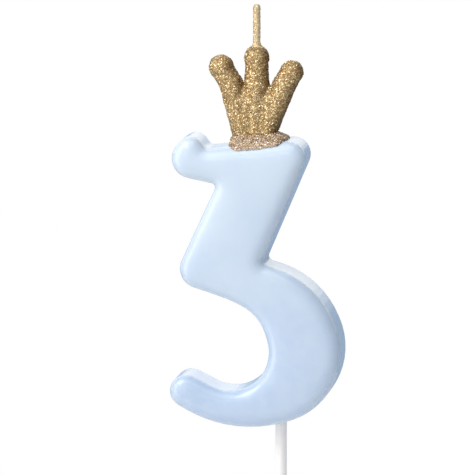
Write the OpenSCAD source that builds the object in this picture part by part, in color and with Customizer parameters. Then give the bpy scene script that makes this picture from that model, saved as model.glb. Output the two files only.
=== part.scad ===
// Number birthday candle: a wax numeral three with a glittered crown and a wick, on a plastic stick.
// Millimetres, +Z up, front towards -Y. The origin is on the stick's axis, level with the numeral's lowest point.

/* [Numeral] */
// Thickness of the numeral from front to back
numeral_depth = 15; // [13:0.5:18]
// How far the rounded edge reaches in from the outline
numeral_edge = 2.6; // [2:0.1:2.7]
// Thickness of the coloured dip coat over the wax casting
skin_wall = 0.6; // [0.4:0.1:0.9]

/* [Crown] */
// Radius of each prong at the crown's foot
prong_foot_r = 2.4; // [2.3:0.1:2.6]
// Radius of each prong under its ball
prong_neck_r = 2.2; // [2:0.1:2.3]
// Thickness of the crown's flat body between the prongs
web_depth = 4.4; // [3:0.2:4.4]
// Thickness of the glitter coat
glitter_wall = 0.25; // [0.15:0.05:0.3]

/* [Wick] */
// Diameter of the cotton cord
wick_d = 1.2; // [1:0.1:1.3]
// Length of wick that stands clear above the crown
wick_clear = 9.5; // [6:0.5:12]
// Depth that the wick reaches into the numeral
wick_set = 22; // [15:1:25]

/* [Stick] */
// Diameter of the stick where it enters the cake
stick_d = 2.6; // [2.4:0.1:2.8]
// Length of stick below the numeral
stick_clear = 42; // [30:1:60]
// Depth of the stick's socket in the numeral
socket_depth = 15; // [10:1:16]

/* [Hidden] */
$fn = 48;

bar_end = [2.2, 61.1, 3.9];
bar_notch = [-16, 64.1, -1.1];
// The numeral's outline is a belt round these wheels, anticlockwise as seen from the front.
// Each wheel is [x, z, r]. A positive r rounds an outer corner and a negative r rounds an inner one.
NUMERAL = [
    [-19.7, 60.7, 4.5],    // upper terminal, left side and underside
    [-15.3, 54.3, -0.9],   // under the bar
    [-17.9, 35.8, 4.5],    // middle corner
    [-21.6, 3.9, -27],     // underside of the middle arm
    [-13, 18.2, -10.4],    // inside of the bowl, top and right
    [-11.2, 17.2, -9],     // inside of the bowl, floor
    [-21, 7.9, 3.7],       // lower terminal
    [-7, 28.6, 28.6],      // outside of the bowl, bottom
    [-2.4, 17.3, 16.5],    // outside of the bowl, lower right
    [-6.9, 16.1, 21.1],    // outside of the bowl, top and right
    [-2.4, 37.8, -1],      // above the bowl
    bar_end,
    bar_notch,             // between the bar and the upper terminal
    [-20, 62.8, 2.9],      // upper terminal, top
];

half_depth = numeral_depth / 2;
edge_rise = 3;               // depth of the rounded edge
wall_half = half_depth - edge_rise;
edge_steps = 5;              // rings in each rounded edge
sag = 0.03;                  // largest gap between an arc and its chords

// The bar's top is a straight slope from the notch up to its right end.
crown_x = -5.6;
bar_normal = run_normal(bar_end, bar_notch);
bar_slope = bar_normal - 90;
bar_z = bar_end.y + (bar_end[2] - (crown_x - bar_end.x) * cos(bar_normal)) / sin(bar_normal);

// The weld is [left end, right end, half depth] at the bar and at its upper edge, from the middle of the crown.
skirt = [-5.9, 7.3, 6.3];
collar = [-5.6, 5, 3.2];
pad_r = 2.4;                 // rounding of the weld's ends
skirt_h = 0.3;               // height of the weld's rim above the bar
collar_h = 1.8;              // height of the weld's upper edge above the bar
drape = 1.5;                 // how far the weld runs down over the bar's rounded edges
seat_gap = 0.5;              // wax between the crown's foot and the bar

// Each prong is [foot x, knee [x, z, r], ball [x, z, r]]. The outer ones lean further out above the knee.
PRONGS = [
    [-7.3, [-11.4, 77.2, 2.35], [-13.6, 80.9, 2.5]],
    [crown_x, [crown_x, 77, 2.5], [crown_x, 83.2, 2.5]],
    [-5.6, [0.6, 77, 2.35], [2.3, 80, 2.35]],
];
knee_swell = 0.08;           // how far a knee stands proud of its limbs
crown_foot_z = 62;
notch_z = 76.6;              // bottom of the notches between the prongs
notch_depth = 1.6;           // thickness of the web at the notches
groove_z = 73.5;             // lower end of the grooves that run down from the notches
crown_peak = PRONGS[1][2].y + PRONGS[1][2].z;
crown_reach = 15;            // from the middle of the crown to past its sides, front and back

wick_r = wick_d / 2;
wick_coat = 0.25;            // glitter on the exposed wick
wick_lap = 0.3;              // how far that glitter reaches down over the crown's peak
wick_foot = bar_z - wick_set;
wick_top = crown_peak + wick_clear;
wick_cap = 0.5;              // glitter over the cord's end
cord_top = wick_top - wick_cap;

stick_r = stick_d / 2;
socket_r = stick_r + 0.05;
stick_end_r = stick_r - 0.06;   // the stick narrows slightly towards its upper end
stick_end_gap = 0.05;
tip_length = 4;
tip_r = 0.4;
cut = 1;                     // how far a cutter runs past the face that it cuts

// Angle of the outward normal along the belt's straight run from wheel a to wheel b.
function run_normal(a, b) =
    let (v = [b.x - a.x, b.y - a.y])
    atan2(v.y, v.x) - acos((a[2] - b[2]) / norm(v));

// Turn of the belt round a wheel, positive round an outer corner and negative round an inner one.
function turn(r, from, to) =
    r > 0 ? (to - from + 720) % 360 : -((from - to + 720) % 360);

// The outline as posts, each [wheel x, wheel z, wheel r, angle of the outward normal].
function posts(wheels) =
    let (n = len(wheels))
    [for (i = [0:n - 1])
        let (w = wheels[i],
             from = run_normal(wheels[(i + n - 1) % n], w),
             sweep = turn(w[2], from, run_normal(w, wheels[(i + 1) % n])),
             chord = 2 * acos(1 - sag / abs(w[2])),
             steps = max(2, ceil(abs(sweep) / chord)))
        for (k = [0:steps]) [w.x, w.y, w[2], from + sweep * k / steps]];

// Where a post stands when the outline is drawn in by d.
function inset(post, d) =
    [post.x + (post[2] - d) * cos(post[3]), post.y + (post[2] - d) * sin(post[3])];

// Twice the area of the triangle a, b, c, positive when it runs anticlockwise.
function area(a, b, c) = cross(b - a, c - a);

// Fills the stroke between points i and j with triangles, taking the shorter way across where both are open.
function zip(p, i, j) =
    j - i < 2 ? [] :
    let (up_open = area(p[i], p[i + 1], p[j]) > 0,
         down_open = area(p[i], p[j - 1], p[j]) > 0,
         up_shorter = norm(p[i + 1] - p[j]) < norm(p[i] - p[j - 1]))
    up_open && (up_shorter || !down_open)
        ? concat([[i, i + 1, j]], zip(p, i + 1, j))
        : concat([[i, j - 1, j]], zip(p, i, j - 1));

// [inset, y] of each ring round the numeral, from the front face to the back.
function edge_rings(shrink) =
    let (reach = numeral_edge - shrink,
         rise = edge_rise - shrink,
         front = [for (k = [0:edge_steps])
             let (a = 90 * k / edge_steps)
             [shrink + reach * (1 - sin(a)), -wall_half - rise * cos(a)]])
    concat(front, [for (k = [edge_steps:-1:0]) [front[k][0], -front[k][1]]]);

// The numeral with rounded edges, with its whole surface drawn in by shrink.
module numeral_form(shrink) {
    outline = posts(NUMERAL);
    rings = edge_rings(shrink);
    n = len(outline);
    last = (len(rings) - 1) * n;
    points = [for (ring = rings, post = outline)
        let (p = inset(post, ring[0])) [p.x, ring[1], p.y]];
    cap = zip([for (post = outline) inset(post, rings[0][0])], 0, n - 1);
    sides = [for (r = [0:len(rings) - 2], i = [0:n - 1])
        let (j = (i + 1) % n, a = r * n, b = a + n)
        each [[a + i, b + j, b + i], [a + i, a + j, b + j]]];
    front_cap = [for (t = cap) [t[2], t[1], t[0]]];
    back_cap = [for (t = cap) [last + t[0], last + t[1], last + t[2]]];
    polyhedron(points, concat(front_cap, sides, back_cap));
}

// Moves its children onto the bar's sloping top, under the middle of the crown.
module on_bar() {
    translate([crown_x, 0, bar_z]) rotate([0, -bar_slope, 0]) children();
}

module wick_hole() {
    translate([crown_x, 0, wick_foot]) cylinder(r = wick_r, h = cord_top - wick_foot);
}

module socket() {
    translate([0, 0, -cut]) cylinder(r = socket_r, h = socket_depth + cut);
}

// A cone between two points [x, z, r], swollen by grow.
module limb(from, to, grow) {
    lean = atan2(to.x - from.x, to.y - from.y);
    translate([from.x, 0, from.y]) rotate([0, lean, 0])
        cylinder(r1 = from.z + grow, r2 = to.z + grow, h = norm([to.x - from.x, to.y - from.y]));
}

module ball(at, grow) {
    translate([at.x, 0, at.y]) sphere(r = at.z + grow, $fn = 32);
}

// One prong with its ball, swollen by grow.
module prong(p, grow) {
    knee = p[1];
    tip = p[2];
    limb([p[0], crown_foot_z, prong_foot_r], knee, grow);
    ball(knee, grow + knee_swell);
    limb(knee, [tip.x, tip.y, prong_neck_r], grow);
    ball(tip, grow);
}

// The flat body between the prongs. It thins towards a notch on each side of the middle one.
module web(grow) {
    left = PRONGS[0];
    right = PRONGS[2];
    flat = web_depth / 2 + grow;
    thin = notch_depth / 2 + grow;
    top = notch_z + grow;
    outline = [[left[0], crown_foot_z], [right[0], crown_foot_z], [right[1].x, top], [left[1].x, top]];
    flank = [[flat, crown_foot_z - cut], [flat, groove_z], [thin, notch_z], [thin, top + cut]];
    profile = concat(flank, [for (k = [len(flank) - 1:-1:0]) [-flank[k].x, flank[k].y]]);
    intersection() {
        translate([0, flat, 0]) rotate([90, 0, 0]) linear_extrude(2 * flat) polygon(outline);
        translate([crown_x - crown_reach, 0, 0]) rotate([90, 0, 90])
            linear_extrude(2 * crown_reach) polygon(profile);
    }
}

// The crown, swollen by grow and cut off along its foot.
module crown_form(grow) {
    difference() {
        union() {
            for (p = PRONGS) prong(p, grow);
            web(grow);
        }
        on_bar() translate([-crown_reach, -crown_reach, seat_gap - crown_reach]) cube([2, 2, 1] * crown_reach);
    }
}

// The numeral's bar as a straight block that carries its rounded edges on past both ends.
module bar_block() {
    profile = [for (ring = edge_rings(0)) [ring.y, -ring.x]];
    base = [[half_depth, -edge_rise - cut], [-half_depth, -edge_rise - cut]];
    on_bar() translate([-crown_reach, 0, 0]) rotate([90, 0, 90])
        linear_extrude(2 * crown_reach) polygon(concat(profile, base));
}

// A low disc with elliptical ends. The outline is [left end, right end, half depth].
module pad(outline, z, h) {
    for (x = [outline[0] + pad_r, outline[1] - pad_r])
        translate([x, 0, z]) resize([2 * pad_r, 2 * outline[2], 0]) cylinder(r = pad_r, h = h, $fn = 32);
}

// The bead of melted wax round the crown's foot, before the crown and the bar are cut out of it.
module weld_form() {
    on_bar() hull() {
        pad(skirt, -drape, drape + skirt_h);
        pad(collar, 0, collar_h);
    }
}

// A piece of wax with the wick's hole and the stick's socket in it.
module bored() {
    difference() {
        children();
        wick_hole();
        socket();
    }
}

module numeral_core() color("white")
    bored() numeral_form(skin_wall);

module numeral_skin() color("lightsteelblue")
    bored() difference() {
        numeral_form(0);
        numeral_form(skin_wall);
    }

module crown_core() color("burlywood")
    difference() {
        crown_form(0);
        wick_hole();
    }

module crown_weld() color("tan")
    difference() {
        weld_form();
        crown_form(0);
        bar_block();
        wick_hole();
    }

module crown_glitter() color("goldenrod")
    difference() {
        crown_form(glitter_wall);
        crown_form(0);
        weld_form();
        wick_hole();
    }

module wick_cord() color("ivory")
    translate([crown_x, 0, wick_foot]) cylinder(r = wick_r, h = cord_top - wick_foot);

module wick_glitter() color("gold") {
    coat_r = wick_r + wick_coat;
    foot = crown_peak - wick_lap;
    translate([crown_x, 0, 0])
        difference() {
            union() {
                translate([0, 0, foot]) cylinder(r = coat_r, h = wick_top - coat_r - foot);
                translate([0, 0, wick_top - coat_r]) sphere(r = coat_r);
            }
            translate([0, 0, foot - cut]) cylinder(r = wick_r, h = cord_top - foot + cut);
            translate([-crown_x, 0, 0]) ball(PRONGS[1][2], glitter_wall);
        }
}

module stick() color("whitesmoke") {
    shank = stick_clear - tip_length;
    cylinder(r1 = stick_r, r2 = stick_end_r, h = socket_depth - stick_end_gap);
    translate([0, 0, -shank]) cylinder(r = stick_r, h = shank);
    translate([0, 0, -stick_clear]) cylinder(r1 = tip_r, r2 = stick_r, h = tip_length);
}

numeral_core();
numeral_skin();
crown_core();
crown_weld();
crown_glitter();
wick_cord();
wick_glitter();
stick();
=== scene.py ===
import math

import bmesh
import bpy
import numpy as np
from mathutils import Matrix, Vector, kdtree, noise


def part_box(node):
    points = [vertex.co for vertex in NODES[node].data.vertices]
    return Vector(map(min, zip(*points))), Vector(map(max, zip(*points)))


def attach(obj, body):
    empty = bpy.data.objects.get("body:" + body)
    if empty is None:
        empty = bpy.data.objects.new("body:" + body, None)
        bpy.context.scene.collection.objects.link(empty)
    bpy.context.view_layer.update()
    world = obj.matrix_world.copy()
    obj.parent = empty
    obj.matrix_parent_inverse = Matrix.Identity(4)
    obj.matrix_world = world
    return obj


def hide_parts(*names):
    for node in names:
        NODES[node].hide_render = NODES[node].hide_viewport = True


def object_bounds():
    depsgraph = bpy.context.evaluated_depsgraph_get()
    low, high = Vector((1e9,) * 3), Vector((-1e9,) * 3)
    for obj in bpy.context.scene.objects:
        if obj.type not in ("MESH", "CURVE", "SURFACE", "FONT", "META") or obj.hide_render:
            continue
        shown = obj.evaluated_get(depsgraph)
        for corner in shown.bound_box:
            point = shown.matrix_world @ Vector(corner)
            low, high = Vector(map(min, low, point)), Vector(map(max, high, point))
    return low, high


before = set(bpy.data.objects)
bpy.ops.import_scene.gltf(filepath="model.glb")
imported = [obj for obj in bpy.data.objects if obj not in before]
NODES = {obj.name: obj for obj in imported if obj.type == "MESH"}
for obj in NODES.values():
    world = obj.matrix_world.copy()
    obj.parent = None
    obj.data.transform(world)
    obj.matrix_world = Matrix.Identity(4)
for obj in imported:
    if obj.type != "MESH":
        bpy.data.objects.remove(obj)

MM = 0.001
CAD_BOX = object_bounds()
CANDLE, STICK = "candle", "stick"
SAME_POINT = 0.001 * MM      # vertices nearer than this are one vertex

# The numeral's section: a flat side wall, a rounded edge and a gently domed face.
WALL_HALF = 4.4 * MM         # half depth of the flat side wall
EDGE_REACH = 4.3 * MM        # how far the rounded edge reaches in from the outline
EDGE_RISE = 2.45 * MM        # how far it rises above the side wall
EDGE_POWER = 3               # above 2, the edge runs into the face with no visible line
DOME_RISE = 0.6 * MM         # how far the face rises above that in the thick of a stroke
DOME_REACH = 8 * MM
DOME_BLUR = 1.6 * MM         # how softly the dome turns along a stroke's middle line
WAVE = 0.05 * MM             # depth of the slow waves in the dipped surface
WAVE_SCALE = 110

# How the numeral's mesh is made.
SECTION_DEPTH = 3 * MM       # the outline is taken from a cut this far behind the middle
SHORTEST_SIDE = 0.05 * MM    # sides of the outline shorter than this are dropped
OUTLINE_STEP = 0.1 * MM
COARSE_STEP = 4              # the first mesh has every fourth point of the outline
FIELD_PITCH = 0.15 * MM
FIELD_MARGIN = 2 * MM
SKIN_VOXEL = 0.3 * MM
LONGEST_MOVE = 0.6 * MM      # of a point in one step towards the surface
LEAST_SLOPE = 1e2            # square of the smallest slope that a step divides by

# The coats of the crown and of the bead of melted wax under it.
COAT_VOXEL = 0.16 * MM
CROWN_LUMP = 0.10 * MM
CROWN_LUMP_SCALES = (700, 1610)
WELD_SINK = 0.55 * MM        # how far the bead's underside is sunk into the numeral
WELD_RUN = 0.35 * MM         # how unevenly its edge runs
WELD_RUN_SCALE = 420
WELD_LUMP = 0.2 * MM
WELD_LUMP_SCALES = (550, 1700)

# A flake of glitter. The lift and the point are shares of its radius.
FLAKE_SIDES = 6
FLAKE_LIFT = 0.22            # how far its middle stands out of the surface
FLAKE_POINT = 0.8            # how deep its hidden point goes
FLAKE_SHADES = (0.8, 1.15)   # the darkest and the lightest flake of one colour
SHADE_SPREAD = (0.9, 1.0, 1.1)      # how a flake's painted shade is spread over red, green and blue


# ---------------------------------------------------------------- helpers

def link(obj):
    bpy.context.scene.collection.objects.link(obj)
    return obj


def mesh_object(name, verts, faces, smooth=True):
    mesh = bpy.data.meshes.new(name)
    mesh.from_pydata([tuple(v) for v in verts], [], [tuple(f) for f in faces])
    mesh.polygons.foreach_set("use_smooth", [smooth] * len(mesh.polygons))
    mesh.update()
    return link(bpy.data.objects.new(name, mesh))


def shade_smooth(obj):
    obj.data.polygons.foreach_set("use_smooth", [True] * len(obj.data.polygons))


def apply_modifiers(obj):
    graph = bpy.context.evaluated_depsgraph_get()
    baked = bpy.data.meshes.new_from_object(obj.evaluated_get(graph))
    obj.modifiers.clear()
    obj.data = baked


def remesh(obj, voxel, rounds):
    """Turns obj into one even skin of quads, then relaxes it."""
    skin = obj.modifiers.new("skin", "REMESH")
    skin.mode = "VOXEL"
    skin.voxel_size = voxel
    relax = obj.modifiers.new("relax", "SMOOTH")
    relax.factor = 0.5
    relax.iterations = rounds
    apply_modifiers(obj)
    shade_smooth(obj)
    return obj


def cut_with(obj, cutter):
    cut = obj.modifiers.new("cut", "BOOLEAN")
    cut.operation = "DIFFERENCE"
    cut.solver = "EXACT"
    cut.object = cutter
    apply_modifiers(obj)
    shade_smooth(obj)
    bpy.data.objects.remove(cutter)


def coordinates(mesh):
    co = np.empty(len(mesh.vertices) * 3)
    mesh.vertices.foreach_get("co", co)
    return co.reshape(-1, 3)


def normals(mesh):
    no = np.empty(len(mesh.vertices) * 3)
    mesh.vertices.foreach_get("normal", no)
    return no.reshape(-1, 3)


def set_coordinates(mesh, co):
    mesh.vertices.foreach_set("co", co.ravel())
    mesh.update()


def unit(vectors):
    return vectors / np.linalg.norm(vectors, axis=1, keepdims=True)


def copies(name, *nodes):
    """One new object that holds copies of CAD nodes' meshes."""
    bm = bmesh.new()
    for node in nodes:
        bm.from_mesh(NODES[node].data)
    bmesh.ops.remove_doubles(bm, verts=bm.verts, dist=SAME_POINT)
    mesh = bpy.data.meshes.new(name)
    bm.to_mesh(mesh)
    bm.free()
    return link(bpy.data.objects.new(name, mesh))


def noise_at(points, scale, seed):
    """Smooth noise from -1 to 1 at each point, with features about 1 / scale across."""
    shift = Vector((seed * 3.1, seed * 5.7, seed * 7.3))
    return np.array([noise.noise(Vector(p) * scale + shift) for p in points])


def lathe(name, profile, sides, centre=(0, 0)):
    """A turned solid. The profile is (radius, z) from the bottom of the axis to the top."""
    verts, faces = [], []
    for r, z in profile:
        for k in range(sides):
            a = 2 * math.pi * k / sides
            verts.append((centre[0] + r * math.cos(a), centre[1] + r * math.sin(a), z))
    for i in range(len(profile) - 1):
        for k in range(sides):
            j = (k + 1) % sides
            faces.append((i * sides + k, i * sides + j, (i + 1) * sides + j, (i + 1) * sides + k))
    faces.append(tuple(reversed(range(sides))))
    faces.append(tuple(range((len(profile) - 1) * sides, len(profile) * sides)))
    return mesh_object(name, verts, faces)


# ---------------------------------------------------------------- numeral

def signed_area(p):
    q = np.roll(p, -1, 0)
    return 0.5 * float(np.sum(p[:, 0] * q[:, 1] - q[:, 0] * p[:, 1]))


def walk(edges):
    """Takes one closed loop out of a set of edges, as an array of (x, z)."""
    first = edges.pop()
    start, here = first.verts
    loop = [start.co.xz, here.co.xz]
    while here != start:
        step = next((e for e in here.link_edges if e in edges), None)
        if step is None:
            break
        edges.discard(step)
        here = step.other_vert(here)
        loop.append(here.co.xz)
    return np.array([tuple(p) for p in loop[:-1]])


def section(node, y):
    """The outer outline where the plane at y cuts a node, as an array of (x, z)."""
    bm = bmesh.new()
    bm.from_mesh(NODES[node].data)
    bmesh.ops.remove_doubles(bm, verts=bm.verts, dist=SAME_POINT)
    geom = bm.verts[:] + bm.edges[:] + bm.faces[:]
    made = bmesh.ops.bisect_plane(bm, geom=geom, plane_co=(0, y, 0), plane_no=(0, 1, 0))
    edges = {e for e in made["geom_cut"] if isinstance(e, bmesh.types.BMEdge)}
    loops = []
    while edges:
        loops.append(walk(edges))
    bm.free()
    return max(loops, key=lambda p: abs(signed_area(p)))


def smooth_loop(p, step):
    """A closed curve through the points. Long sides stay straight and short ones become arcs.

    It runs anticlockwise from its leftmost point, so that it is the same each time.
    """
    if signed_area(p) < 0:
        p = p[::-1]
    leftmost = np.lexsort((p[:, 1], p[:, 0]))[0]
    p = np.roll(p, -leftmost, 0)
    keep = np.linalg.norm(p - np.roll(p, 1, 0), axis=1) > SHORTEST_SIDE
    p = p[keep]
    side = np.roll(p, -1, 0) - p
    length = np.linalg.norm(side, axis=1, keepdims=True)
    slope = side / length
    before = np.roll(length, 1, 0)
    tangent = (np.roll(slope, 1, 0) * before + slope * length) / (before + length)
    out = []
    for i in range(len(p)):
        j, h = (i + 1) % len(p), length[i]
        t = np.arange(0, 1, 1 / max(1, round(h[0] / step)))[:, None]
        out.append((2 * t**3 - 3 * t**2 + 1) * p[i] + (t**3 - 2 * t**2 + t) * h * tangent[i]
                   + (3 * t**2 - 2 * t**3) * p[j] + (t**3 - t**2) * h * tangent[j])
    return np.vstack(out)


class Field:
    """Distance in from the numeral's outline, on a grid in the XZ plane, and the face's dome."""

    def __init__(self, loop, pitch):
        self.pitch = pitch
        self.lo = loop.min(0) - FIELD_MARGIN
        count = np.ceil((loop.max(0) + FIELD_MARGIN - self.lo) / pitch).astype(int) + 1
        xs = self.lo[0] + pitch * np.arange(count[0])
        zs = self.lo[1] + pitch * np.arange(count[1])
        ahead = np.roll(loop, -1, 0) - np.roll(loop, 1, 0)
        inward = unit(np.stack([-ahead[:, 1], ahead[:, 0]], 1))
        tree = kdtree.KDTree(len(loop))
        for i, p in enumerate(loop):
            tree.insert((p[0], p[1], 0), i)
        tree.balance()
        near = np.array([[tree.find((x, z, 0))[1] for z in zs] for x in xs])
        grid = np.stack(np.meshgrid(xs, zs, indexing="ij"), -1)
        away = grid - loop[near]
        across = np.sum(away * inward[near], -1)
        straight = np.sign(across) * np.linalg.norm(away, axis=-1)
        self.d = np.where(np.abs(across) < pitch, across, straight)
        depth = self.blurred(np.clip(self.d, 0, DOME_REACH), DOME_BLUR) / DOME_REACH
        self.dome = DOME_RISE * (1 - (1 - np.clip(depth, 0, 1)) ** 2)
        self.slope = np.gradient(self.d, pitch)

    def blurred(self, values, sigma):
        fx = np.fft.fftfreq(values.shape[0], self.pitch)[:, None]
        fz = np.fft.fftfreq(values.shape[1], self.pitch)[None, :]
        kernel = np.exp(-2 * (math.pi * sigma) ** 2 * (fx**2 + fz**2))
        return np.fft.ifft2(np.fft.fft2(values) * kernel).real

    def at(self, grid, x, z):
        """A grid's value between its points."""
        last = 1.001             # from the grid's size down to its last cell
        fx = np.clip((x - self.lo[0]) / self.pitch, 0, grid.shape[0] - last)
        fz = np.clip((z - self.lo[1]) / self.pitch, 0, grid.shape[1] - last)
        i, k = fx.astype(int), fz.astype(int)
        u, v = fx - i, fz - k
        return ((grid[i, k] * (1 - v) + grid[i, k + 1] * v) * (1 - u)
                + (grid[i + 1, k] * (1 - v) + grid[i + 1, k + 1] * v) * u)


def settle(co, field, rounds):
    """Moves points onto the numeral's surface, by Newton steps on its implicit form."""
    co = co.copy()
    for _ in range(rounds):
        x, y, z = co.T
        d = field.at(field.d, x, z)
        rise = EDGE_RISE + field.at(field.dome, x, z)
        up = np.clip(np.abs(y) - WALL_HALF, 0, None) / rise
        gap = np.clip(EDGE_REACH - d, 0, None) / EDGE_REACH
        value = up**2 + gap**EDGE_POWER - 1
        fall = -EDGE_POWER * gap ** (EDGE_POWER - 1) / EDGE_REACH
        gx = fall * field.at(field.slope[0], x, z)
        gz = fall * field.at(field.slope[1], x, z)
        gy = 2 * up / rise * np.sign(y)
        size = np.maximum(gx**2 + gy**2 + gz**2, LEAST_SLOPE)
        move = -np.stack([gx, gy, gz], 1) * (value / size)[:, None]
        length = np.maximum(np.linalg.norm(move, axis=1, keepdims=True), 1e-12)
        co += move * np.minimum(1, LONGEST_MOVE / length)
    return co


def relaxed(mesh, co, amount):
    """Each point moved towards the middle of its neighbours."""
    edges = np.empty(len(mesh.edges) * 2, dtype=np.int32)
    mesh.edges.foreach_get("vertices", edges)
    a, b = edges.reshape(-1, 2).T
    total, count = np.zeros_like(co), np.zeros(len(co))
    for i, j in ((a, b), (b, a)):
        np.add.at(total, i, co[j])
        np.add.at(count, i, 1)
    return co + amount * (total / count[:, None] - co)


def numeral_skin():
    loop = smooth_loop(section("numeral_skin", SECTION_DEPTH), OUTLINE_STEP)
    field = Field(loop, FIELD_PITCH)
    coarse = loop[::COARSE_STEP]
    n, half = len(coarse), WALL_HALF + EDGE_RISE
    verts = [(p[0], side * half, p[1]) for side in (-1, 1) for p in coarse]
    faces = [(i, (i + 1) % n, n + (i + 1) % n, n + i) for i in range(n)]
    faces += [tuple(range(n)), tuple(range(2 * n - 1, n - 1, -1))]
    skin = remesh(mesh_object("numeral_blue_wax", verts, faces), SKIN_VOXEL, rounds=4)
    co = coordinates(skin.data)
    for _ in range(4):
        co = settle(relaxed(skin.data, co, 0.5), field, rounds=3)
    co = settle(co, field, rounds=12)
    set_coordinates(skin.data, co)
    wave = 0.5 + 0.5 * noise_at(co, WAVE_SCALE, seed=1)
    set_coordinates(skin.data, co - normals(skin.data) * (WAVE * wave)[:, None])
    return skin


def socket_cutter():
    """The stick's hole through the coat. Past the coat it is wider, so that the casting shows inside."""
    below = -1 * MM
    underside = 0.9 * MM         # the coat's lower surface at the stick
    inside = underside + 0.6 * MM
    top = 15.2 * MM              # just past the stick's end
    mouth_r, inner_r = 1.35 * MM, 1.5 * MM
    bevel, step = 0.3 * MM, 0.1 * MM
    profile = [(mouth_r + 0.55 * MM, below), (mouth_r + 0.4 * MM, underside), (mouth_r, underside + bevel),
               (mouth_r, inside), (inner_r, inside + step), (inner_r, top)]
    return lathe("socket_cutter", profile, sides=48)


# ---------------------------------------------------------------- glitter

def surface_samples(obj, count, rng, lowest):
    """Points spread evenly over the faces that look no further down than lowest, with smooth normals."""
    mesh = obj.data
    mesh.calc_loop_triangles()
    tri = np.empty(len(mesh.loop_triangles) * 3, dtype=np.int32)
    mesh.loop_triangles.foreach_get("vertices", tri)
    tri = tri.reshape(-1, 3)
    co, no = coordinates(mesh), normals(mesh)
    a, b, c = co[tri[:, 0]], co[tri[:, 1]], co[tri[:, 2]]
    area = np.linalg.norm(np.cross(b - a, c - a), axis=1)
    area = np.where(no[tri, 2].mean(1) > lowest, area, 0)
    pick = rng.choice(len(tri), count, p=area / area.sum())
    u, v = rng.random(count), rng.random(count)
    flip = u + v > 1
    u[flip], v[flip] = 1 - u[flip], 1 - v[flip]
    w = np.stack([1 - u - v, u, v], 1)[:, :, None]
    points = (co[tri[pick]] * w).sum(1)
    return points, unit((no[tri[pick]] * w).sum(1))


def painted_flank_shade(out, amount):
    """Painted shade: the share of its red, green and blue that each flake keeps. Flanks that face right keep
    least, and flanks that face left a little less than the rest.
    """
    gain, left_limit = 1.2, 0.35
    flank = amount * np.clip(gain * out[:, :1], -left_limit, 1) ** 2
    return 1 - flank * SHADE_SPREAD


def flakes(name, obj, count, sizes, tilt, palette, seed, lowest=-1, painted_shade=0):
    """Flat flakes set in a surface. Each is a facet over a shallow point, so it is closed.

    Sizes are the smallest and largest radius, and tilt is how far the facets lean at random. There are
    none where the surface's normal has a z below lowest. The painted shade argument sets how strongly painted
    shade darkens the flakes on their flanks.
    """
    rng = np.random.default_rng(seed)
    points, out = surface_samples(obj, count, rng, lowest)
    facing = unit(out + rng.normal(0, tilt, (count, 3)))
    side = unit(np.cross(facing, rng.normal(0, 1, (count, 3))))
    other = np.cross(facing, side)
    r = rng.uniform(*sizes, count)[:, None]
    centre = points + out * r * FLAKE_LIFT
    angles = [2 * math.pi * k / FLAKE_SIDES for k in range(FLAKE_SIDES)]
    rim = [centre + r * (math.cos(a) * side + math.sin(a) * other) for a in angles]
    verts = np.stack(rim + [centre - facing * r * FLAKE_POINT], 1)
    verts[..., 2] -= np.clip(verts[..., 2].max(1) - CAD_BOX[1].z, 0, None)[:, None]
    each = FLAKE_SIDES + 1
    faces = []
    for i in range(0, each * count, each):
        tip = i + FLAKE_SIDES
        faces.append(tuple(range(i, tip)))
        faces.extend((i + (k + 1) % FLAKE_SIDES, i + k, tip) for k in range(FLAKE_SIDES))
    glitter = mesh_object(name, verts.reshape(-1, 3), faces, smooth=False)
    shades = np.array([p[1] for p in palette])
    chosen = rng.choice(len(palette), count, p=[p[0] for p in palette])
    tint = np.ones((count, 4))
    tint[:, :3] = shades[chosen] * rng.uniform(*FLAKE_SHADES, (count, 1))
    # painted shade: flakes on flanks that face away from the light are darkened
    tint[:, :3] *= painted_flank_shade(out, painted_shade)
    layer = glitter.data.color_attributes.new("tint", "FLOAT_COLOR", "POINT")
    layer.data.foreach_set("color", np.repeat(tint, each, 0).ravel())
    return glitter


# ---------------------------------------------------------------- materials

def new_material(name):
    material = bpy.data.materials.new(name)
    material.use_nodes = True
    return material, material.node_tree, material.node_tree.nodes["Principled BSDF"]


def add(tree, kind, links=None, **settings):
    """Adds a shader node. Links maps an input to a socket or a value."""
    node = tree.nodes.new("ShaderNode" + kind)
    for key, value in settings.items():
        setattr(node, key, value)
    for key, value in (links or {}).items():
        if isinstance(value, bpy.types.NodeSocket):
            tree.links.new(value, node.inputs[key])
        else:
            node.inputs[key].default_value = value
    return node


def join(tree, shader, **sockets):
    """Links sockets to the shader's inputs. Base_Color stands for Base Color."""
    for key, socket in sockets.items():
        tree.links.new(socket, shader.inputs[key.replace("_", " ")])


def place(tree):
    return add(tree, "TexCoord").outputs["Object"]


def noise_node(tree, scale, detail=3, roughness=0.5, at=None):
    vector = at or place(tree)
    links = {"Vector": vector, "Scale": scale, "Detail": detail, "Roughness": roughness}
    return add(tree, "TexNoise", links).outputs["Fac"]


def span(tree, value, low, high, from_low=0.3, from_high=0.7):
    """Stretches a value from one range onto another."""
    links = {"Value": value, "From Min": from_low, "From Max": from_high, "To Min": low, "To Max": high}
    return add(tree, "MapRange", links).outputs["Result"]


def soft_span(tree, value, low, high, from_low=0.25, from_high=0.75):
    """Like span, but easing in and out, so that no edge shows where it levels off."""
    links = {"Value": value, "From Min": from_low, "From Max": from_high, "To Min": low, "To Max": high}
    return add(tree, "MapRange", links, interpolation_type="SMOOTHSTEP").outputs["Result"]


def blend(tree, factor, a, b):
    links = {0: factor, 2: a, 3: b}
    return add(tree, "Mix", links, data_type="FLOAT").outputs[0]


def blend_colours(tree, factor, a, b):
    links = {0: factor, 6: (*a, 1) if isinstance(a, tuple) else a, 7: (*b, 1) if isinstance(b, tuple) else b}
    return add(tree, "Mix", links, data_type="RGBA").outputs[2]


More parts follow.
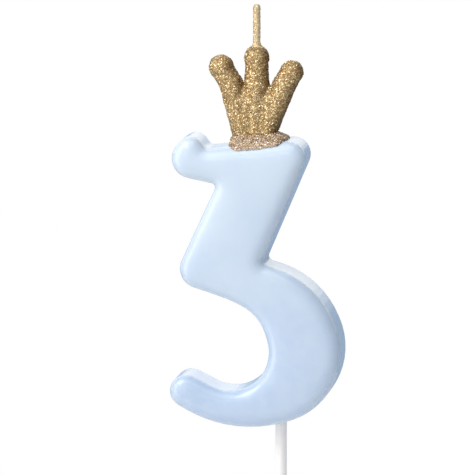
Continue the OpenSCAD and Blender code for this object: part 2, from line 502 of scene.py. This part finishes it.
def math_node(tree, operation, *values):
    return add(tree, "Math", dict(enumerate(values)), operation=operation).outputs[0]


def bump(tree, height, distance, strength=1.0):
    return add(tree, "Bump", {"Height": height, "Distance": distance, "Strength": strength}).outputs["Normal"]


def scatter_light(shader, weight, radius, scale):
    shader.inputs["Subsurface Weight"].default_value = weight
    shader.inputs["Subsurface Radius"].default_value = radius
    shader.inputs["Subsurface Scale"].default_value = scale


def wax(name, deep, pale, scatter, roughness, coat, colour_heights):
    """Glossy dipped wax: slow cloudy drifts of colour, a fine haze and a barely uneven skin.

    The colour is deepest at the lower of the two given heights and palest at the upper one.
    """
    material, tree, shader = new_material(name)
    height = add(tree, "SeparateXYZ", {0: place(tree)}).outputs["Z"]
    height_share = span(tree, height, 0, 1, *colour_heights)
    clouds = soft_span(tree, noise_node(tree, scale=60, detail=1), 0, 1)
    cloud_share, haze_share, uneven = 0.35, 0.3, 0.05
    drift = blend(tree, cloud_share, height_share, clouds)
    haze = soft_span(tree, noise_node(tree, scale=380, detail=2), 0, haze_share)
    patches = noise_node(tree, scale=260, detail=2)
    join(tree, shader,
         Base_Color=blend_colours(tree, haze, blend_colours(tree, drift, deep, pale), pale),
         Roughness=soft_span(tree, patches, roughness - uneven, roughness + uneven),
         Normal=bump(tree, noise_node(tree, scale=500, detail=2), 0.01 * MM, 0.4))
    scatter_light(shader, scatter, (0.9, 1.0, 1.25), 1.6 * MM)
    shader.inputs["IOR"].default_value = 1.44
    shader.inputs["Coat Weight"].default_value = coat
    shader.inputs["Coat Roughness"].default_value = 0.2
    return material


def glitter_metal(name):
    """Metallised film, a shade of gold for each flake, faintly scuffed."""
    material, tree, shader = new_material(name)
    tint = add(tree, "VertexColor", layer_name="tint").outputs["Color"]
    scuff = span(tree, noise_node(tree, scale=5000, detail=2), 0, 0.3)
    scuffed = (0.42, 0.28, 0.12)
    join(tree, shader,
         Base_Color=blend_colours(tree, scuff, tint, scuffed),
         Roughness=span(tree, noise_node(tree, scale=3000, detail=2), 0.32, 0.48))
    shader.inputs["Metallic"].default_value = 0.95
    return material


def binder(name, dark, light):
    """Gold-tinted wax and glue between the flakes."""
    material, tree, shader = new_material(name)
    grain = noise_node(tree, scale=2600, detail=4, roughness=0.7)
    join(tree, shader,
         Base_Color=blend_colours(tree, span(tree, grain, 0, 1), dark, light),
         Roughness=span(tree, noise_node(tree, scale=1800, detail=2), 0.3, 0.6),
         Normal=bump(tree, grain, 0.12 * MM))
    shader.inputs["Metallic"].default_value = 0.5
    return material


def plastic(name, colour, shade):
    """Satin moulded plastic with faint flow lines along its length."""
    material, tree, shader = new_material(name)
    stretch = add(tree, "Mapping", {"Vector": place(tree), "Scale": (1, 1, 0.06)}).outputs["Vector"]
    flow = noise_node(tree, scale=1500, at=stretch)
    join(tree, shader,
         Base_Color=blend_colours(tree, span(tree, flow, 0, 1), colour, shade),
         Roughness=span(tree, noise_node(tree, scale=700), 0.28, 0.42),
         Normal=bump(tree, flow, 0.015 * MM, 0.6))
    scatter_light(shader, 0.6, (1.0, 1.0, 1.0), 1.2 * MM)
    return material


def cotton(name, dark, light):
    """Waxed braided cord: fine twisted strands."""
    material, tree, shader = new_material(name)
    strands = {"Vector": place(tree), "Scale": 900, "Distortion": 3, "Detail": 2}
    twist = add(tree, "TexWave", strands, bands_direction="DIAGONAL").outputs["Fac"]
    join(tree, shader,
         Base_Color=blend_colours(tree, twist, dark, light),
         Roughness=span(tree, noise_node(tree, scale=1500), 0.55, 0.85),
         Normal=bump(tree, twist, 0.06 * MM))
    return material


def dress(obj, material):
    obj.data.materials.clear()
    obj.data.materials.append(material)


# ---------------------------------------------------------------- crown, weld, wick and stick

def crown_coat():
    """The crown and its glitter as one lumpy body."""
    crown = remesh(copies("crown_coat", "crown_core", "crown_glitter"), COAT_VOXEL, rounds=4)
    co = coordinates(crown.data)
    coarse, fine = CROWN_LUMP_SCALES
    lumps = CROWN_LUMP * (noise_at(co, coarse, seed=2) + 0.5 * noise_at(co, fine, seed=11))
    set_coordinates(crown.data, co + normals(crown.data) * lumps[:, None])
    return crown


def weld_coat():
    """The melted bead. Its underside is sunk into the numeral, and its edge runs unevenly."""
    weld = remesh(copies("weld_coat", "crown_weld"), COAT_VOXEL, rounds=14)
    co = coordinates(weld.data)
    out = normals(weld.data)
    sink = WELD_SINK * np.clip(-out[:, 2], 0, 1)
    run = WELD_RUN * noise_at(co * (1, 1, 0), WELD_RUN_SCALE, seed=3) * np.clip(0.5 - out[:, 2], 0, 1)
    coarse, fine = WELD_LUMP_SCALES
    lumps = WELD_LUMP * (noise_at(co, coarse, seed=5) + 0.4 * noise_at(co, fine, seed=6))
    set_coordinates(weld.data, co + out * (sink + run + lumps)[:, None])
    return weld


def wick_coat():
    """The coat on the exposed wick: a slightly uneven sleeve with a rounded end and a flared foot."""
    lo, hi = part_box("wick_glitter")
    x, r, top = (lo.x + hi.x) / 2, (hi.x - lo.x) / 2, hi.z
    sunk = 0.45 * MM
    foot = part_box("crown_glitter")[1].z - sunk
    sleeve_r = 0.95 * r
    flare, flare_height = 0.7 * r, 0.45 * MM
    rings, cap_rings, tip_r = 64, 8, 0.02 * MM
    profile = []
    for k in range(rings):
        z = foot + (top - r - foot) * k / rings
        profile.append((sleeve_r + flare * math.exp(-(z - foot) / flare_height), z))
    for k in range(cap_rings + 1):
        a = math.pi / 2 * k / cap_rings
        profile.append((max(sleeve_r * math.cos(a), tip_r), top - r + r * math.sin(a)))
    sleeve = lathe("wick_coat", profile, sides=40, centre=(x, (lo.y + hi.y) / 2))
    co = coordinates(sleeve.data)
    strands, rise = 2, 0.34 * MM         # in the cord, and the height of a radian of their twist
    turn = np.arctan2(co[:, 1], co[:, 0] - x)
    twist = np.sin((co[:, 2] - foot) / rise + strands * turn)
    twist_depth, lump, lump_scale = 0.025 * MM, 0.035 * MM, 900
    lumps = lump * noise_at(co, lump_scale, seed=4) + twist_depth * (twist - 1)
    away = (co - (x, 0, 0)) * (1, 1, 0)
    away /= np.maximum(np.linalg.norm(away, axis=1, keepdims=True), 1e-9)
    set_coordinates(sleeve.data, co + away * np.minimum(lumps, 0)[:, None])
    return sleeve


def stick_plastic():
    """The moulded stick: a fine parting line down each side, a softened end and a blunt point."""
    lo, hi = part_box("stick")
    r, neck = 1.3 * MM, 1.24 * MM
    tip, tip_r = lo.z, 0.42 * MM
    tip_height, cone, round_off = 0.2 * MM, 4 * MM, 0.3 * MM
    profile = [(0.05 * MM, tip), (0.28 * MM, tip + 0.04 * MM), (tip_r, tip + tip_height)]
    profile += [(tip_r + (r - tip_r) * math.sin(math.pi / 2 * t) ** 0.9, tip + tip_height + cone * t)
                for t in (k / 10 for k in range(1, 11))]
    profile += [(r, z * MM) for z in (-30, -20, -10, 0)]
    profile += [(neck, hi.z - round_off)]
    profile += [(neck - round_off * (1 - math.cos(a)), hi.z - round_off * (1 - math.sin(a)))
                for a in (math.pi / 8 * k for k in range(1, 5))]
    stick = lathe("stick_plastic", profile, sides=96)
    co = coordinates(stick.data)
    seam_width, seam_height = 0.07, 0.012        # shares of the radius
    angle = np.arctan2(co[:, 1], co[:, 0])
    seam = np.exp(-((np.abs(np.sin(angle)) / seam_width) ** 2))
    radius = np.linalg.norm(co[:, :2], axis=1)
    scale = 1 - seam_height * (1 - seam) * np.clip(radius / r, 0, 1)
    co[:, :2] *= scale[:, None]
    set_coordinates(stick.data, co)
    return stick


# ---------------------------------------------------------------- build

BLUE_DEEP = (0.43, 0.56, 0.77)
BLUE_PALE = (0.59, 0.70, 0.83)
# the blue is deepest towards the bottom of the numeral and palest towards its top
DEEP_TO_PALE_HEIGHTS = (-5 * MM, 45 * MM)
SAME_AT_ALL_HEIGHTS = (-60 * MM, 0)         # below all the wax, so the colour doesn't change with height
# Each palette is a list of (share of the flakes, colour).
GOLD = [
    (0.50, (0.87, 0.68, 0.38)),
    (0.25, (0.60, 0.42, 0.19)),
    (0.25, (0.96, 0.83, 0.54)),
]
PALE_GOLD = [
    (0.45, (0.92, 0.77, 0.50)),
    (0.20, (0.72, 0.55, 0.31)),
    (0.35, (0.98, 0.88, 0.66)),
]
WELD_GOLD = [
    (0.35, (0.69, 0.57, 0.50)),
    (0.35, (0.44, 0.32, 0.23)),
    (0.30, (0.86, 0.80, 0.78)),
]
CROWN_SIZES = (0.10 * MM, 0.19 * MM)     # smallest and largest radius of a flake
WELD_SIZES = (0.10 * MM, 0.18 * MM)
WICK_SIZES = (0.08 * MM, 0.14 * MM)

blue = wax("blue_wax", BLUE_DEEP, BLUE_PALE, scatter=0.35, roughness=0.2, coat=0.7, colour_heights=DEEP_TO_PALE_HEIGHTS)
white = wax("white_wax", (0.84, 0.84, 0.80), (0.90, 0.90, 0.87), 0.4, 0.4, 0, SAME_AT_ALL_HEIGHTS)
weld_wax = wax("weld_wax", (0.46, 0.34, 0.24), (0.70, 0.57, 0.46), 0.3, 0.4, 0, SAME_AT_ALL_HEIGHTS)
crown_wax = wax("gold_wax", (0.45, 0.32, 0.15), (0.55, 0.42, 0.22), 0.1, 0.4, 0, SAME_AT_ALL_HEIGHTS)
gold_film = glitter_metal("gold_film")
gold_binder = binder("gold_binder", (0.22, 0.14, 0.06), (0.46, 0.32, 0.16))
wick_binder = binder("wick_binder", (0.55, 0.42, 0.24), (0.85, 0.70, 0.45))
white_plastic = plastic("white_plastic", (0.90, 0.90, 0.90), (0.84, 0.84, 0.85))
waxed_cotton = cotton("waxed_cotton", (0.62, 0.55, 0.4), (0.86, 0.81, 0.68))

skin = numeral_skin()
cut_with(skin, socket_cutter())
dress(skin, blue)
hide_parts("numeral_skin")
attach(skin, CANDLE)

crown = crown_coat()
# where it is set, the last argument of flakes darkens the glitter's flanks with painted shade
crown_flakes = flakes("crown_flakes", crown, 15000, CROWN_SIZES, tilt=0.4, palette=GOLD, seed=11, painted_shade=0.75)
weld = weld_coat()
weld_flakes = flakes("weld_flakes", weld, 6500, WELD_SIZES, 0.5, WELD_GOLD, 12, lowest=-0.5, painted_shade=0.4)
weld_dust = flakes("weld_dust", weld, 2600, WELD_SIZES, 0.5, GOLD, 14, lowest=0.05, painted_shade=0.6)
sleeve = wick_coat()
wick_flakes = flakes("wick_flakes", sleeve, 1300, WICK_SIZES, tilt=0.35, palette=PALE_GOLD, seed=13)
for piece, material, node, slot in (
        (crown, gold_binder, "crown_glitter", "gold_glitter"),
        (weld, weld_wax, "crown_weld", "weld_wax"),
        (sleeve, wick_binder, "wick_glitter", "wick_coat"),
        (crown_flakes, gold_film, "crown_glitter", "gold_glitter"),
        (weld_flakes, gold_film, "crown_weld", "weld_wax"),
        (weld_dust, gold_film, "crown_weld", "weld_wax"),
        (wick_flakes, gold_film, "wick_glitter", "wick_coat")):
    dress(piece, material)
    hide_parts(node)
    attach(piece, CANDLE)

stick = stick_plastic()
dress(stick, white_plastic)
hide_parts("stick")
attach(stick, STICK)

for node, material in (("numeral_core", white), ("crown_core", crown_wax), ("wick_cord", waxed_cotton)):
    dress(NODES[node], material)


# ---------------------------------------------------------------- stage, light and camera

# Brightness of the studio on the (left, right), (front, back) and (lower, upper) side.
SKY = ((0.45, 0.35), (0.82, 1.28), (0.12, 0.25))
SKY_SEAM = 0.001             # half width of the change from one side to the other
TABLE_EDGE = (0.03, 0.15)    # height of the far edge of the dark table, as part of a unit direction
TABLE_LEVEL = 0.36           # brightness of the back below that edge, as a share
TABLE_COLOUR = (0.7, 0.95, 1.3)      # the light below that edge is bluer than white
WHITE = (1.0, 1.0, 1.0)
WARM = (1.0, 0.88, 0.74)
# Each softbox is (name, azimuth, elevation, distance, width, height, watts, colour).
SOFTBOXES = (
    ("window", -45, 8, 0.8, 1.2, 0.9, 0.5, WARM),
    ("sparkle", -48, 42, 0.6, 0.3, 0.3, 1.5, WHITE),
    ("strip", -15, 26, 0.7, 0.6, 0.06, 0.25, WHITE),
    ("overhead", 0, 60, 0.25, 0.2, 0.2, 0.16, WHITE),
    ("rim", 180, 60, 0.6, 0.5, 0.5, 0.5, WHITE),
    ("left", -65, 4, 0.5, 0.25, 0.6, 0.85, WARM),
)
LIGHT_CENTRE = Vector((-0.005, 0, 0.04))
FLOOR_RADIUS = 150 * MM
FLOOR_DROP = 0.2 * MM        # from the stick's tip down to the floor
FLOOR_GREY = 0.78
FLOOR_GLOW = 0.12
VIEW_AZIMUTH, VIEW_ELEVATION = 8, 8
VIEW_CENTRE = Vector((-9.95, 0, 42.4)) * MM
VIEW_HEIGHT = 106.9 * MM
VIEW_DISTANCE = 1.2
VIEW_CLIP = (0.01, 20)
SENSOR = 36


def direction(azimuth, elevation):
    a, e = math.radians(azimuth), math.radians(elevation)
    return Vector((math.sin(a) * math.cos(e), -math.cos(a) * math.cos(e), math.sin(e)))


def aim(obj, centre, azimuth, elevation, distance):
    back = direction(azimuth, elevation)
    obj.location = centre + back * distance
    obj.rotation_mode = "QUATERNION"
    obj.rotation_quaternion = (-back).to_track_quat("-Z", "Y")


def softbox(name, azimuth, elevation, distance, width, height, power, colour):
    lamp = bpy.data.lights.new(name, "AREA")
    lamp.shape = "RECTANGLE"
    lamp.size = width
    lamp.size_y = height
    lamp.energy = power
    lamp.color = colour
    obj = link(bpy.data.objects.new(name, lamp))
    obj.visible_camera = False
    aim(obj, LIGHT_CENTRE, azimuth, elevation, distance)


def studio_floor():
    bm = bmesh.new()
    bmesh.ops.create_circle(bm, cap_ends=True, segments=96, radius=FLOOR_RADIUS)
    mesh = bpy.data.meshes.new("studio_floor")
    bm.to_mesh(mesh)
    bm.free()
    floor = link(bpy.data.objects.new("studio_floor", mesh))
    floor.location.z = CAD_BOX[0].z - FLOOR_DROP
    material, tree, shader = new_material("pale_floor")
    shader.inputs["Base Color"].default_value = (FLOOR_GREY, FLOOR_GREY, FLOOR_GREY, 1)
    shader.inputs["Roughness"].default_value = 0.9
    shader.inputs["Emission Color"].default_value = (1, 1, 1, 1)
    shader.inputs["Emission Strength"].default_value = FLOOR_GLOW
    dress(floor, material)


def studio_world():
    """White to the camera. To everything else, each side of the studio is as bright as SKY says.

    Behind the candle it is darker and bluer below the table's far edge.
    """
    world = bpy.data.worlds.new("studio")
    bpy.context.scene.world = world
    world.use_nodes = True
    tree = world.node_tree
    sky = tree.nodes["Background"]
    way = add(tree, "SeparateXYZ", {0: add(tree, "TexCoord").outputs["Generated"]})
    above = soft_span(tree, way.outputs["Z"], 0, 1, *TABLE_EDGE)
    backdrop = span(tree, above, TABLE_LEVEL, 1, 0, 1)
    level = 0.0
    for axis, (minus, plus) in zip("XYZ", SKY):
        part = way.outputs[axis]
        if axis == "Y":
            plus = math_node(tree, "MULTIPLY", backdrop, plus)
        side = span(tree, part, minus, plus, -SKY_SEAM, SKY_SEAM)
        level = math_node(tree, "MULTIPLY_ADD", math_node(tree, "MULTIPLY", part, part), side, level)
    seen = add(tree, "LightPath").outputs["Is Camera Ray"]
    front = span(tree, way.outputs["Y"], 1, 0, -SKY_SEAM, SKY_SEAM)
    white = math_node(tree, "MAXIMUM", math_node(tree, "MAXIMUM", above, front), seen)
    tree.links.new(blend_colours(tree, white, TABLE_COLOUR, WHITE), sky.inputs["Color"])
    tree.links.new(blend(tree, seen, level, 1.0), sky.inputs["Strength"])


def camera():
    lens = bpy.data.cameras.new("view")
    lens.sensor_width = SENSOR
    lens.lens = SENSOR * VIEW_DISTANCE / VIEW_HEIGHT
    lens.clip_start, lens.clip_end = VIEW_CLIP
    obj = link(bpy.data.objects.new("view", lens))
    aim(obj, VIEW_CENTRE, VIEW_AZIMUTH, VIEW_ELEVATION, VIEW_DISTANCE)
    bpy.context.scene.camera = obj


bpy.context.scene.view_settings.view_transform = "Standard"
studio_floor()
studio_world()
for lamp in SOFTBOXES:
    softbox(*lamp)
camera()
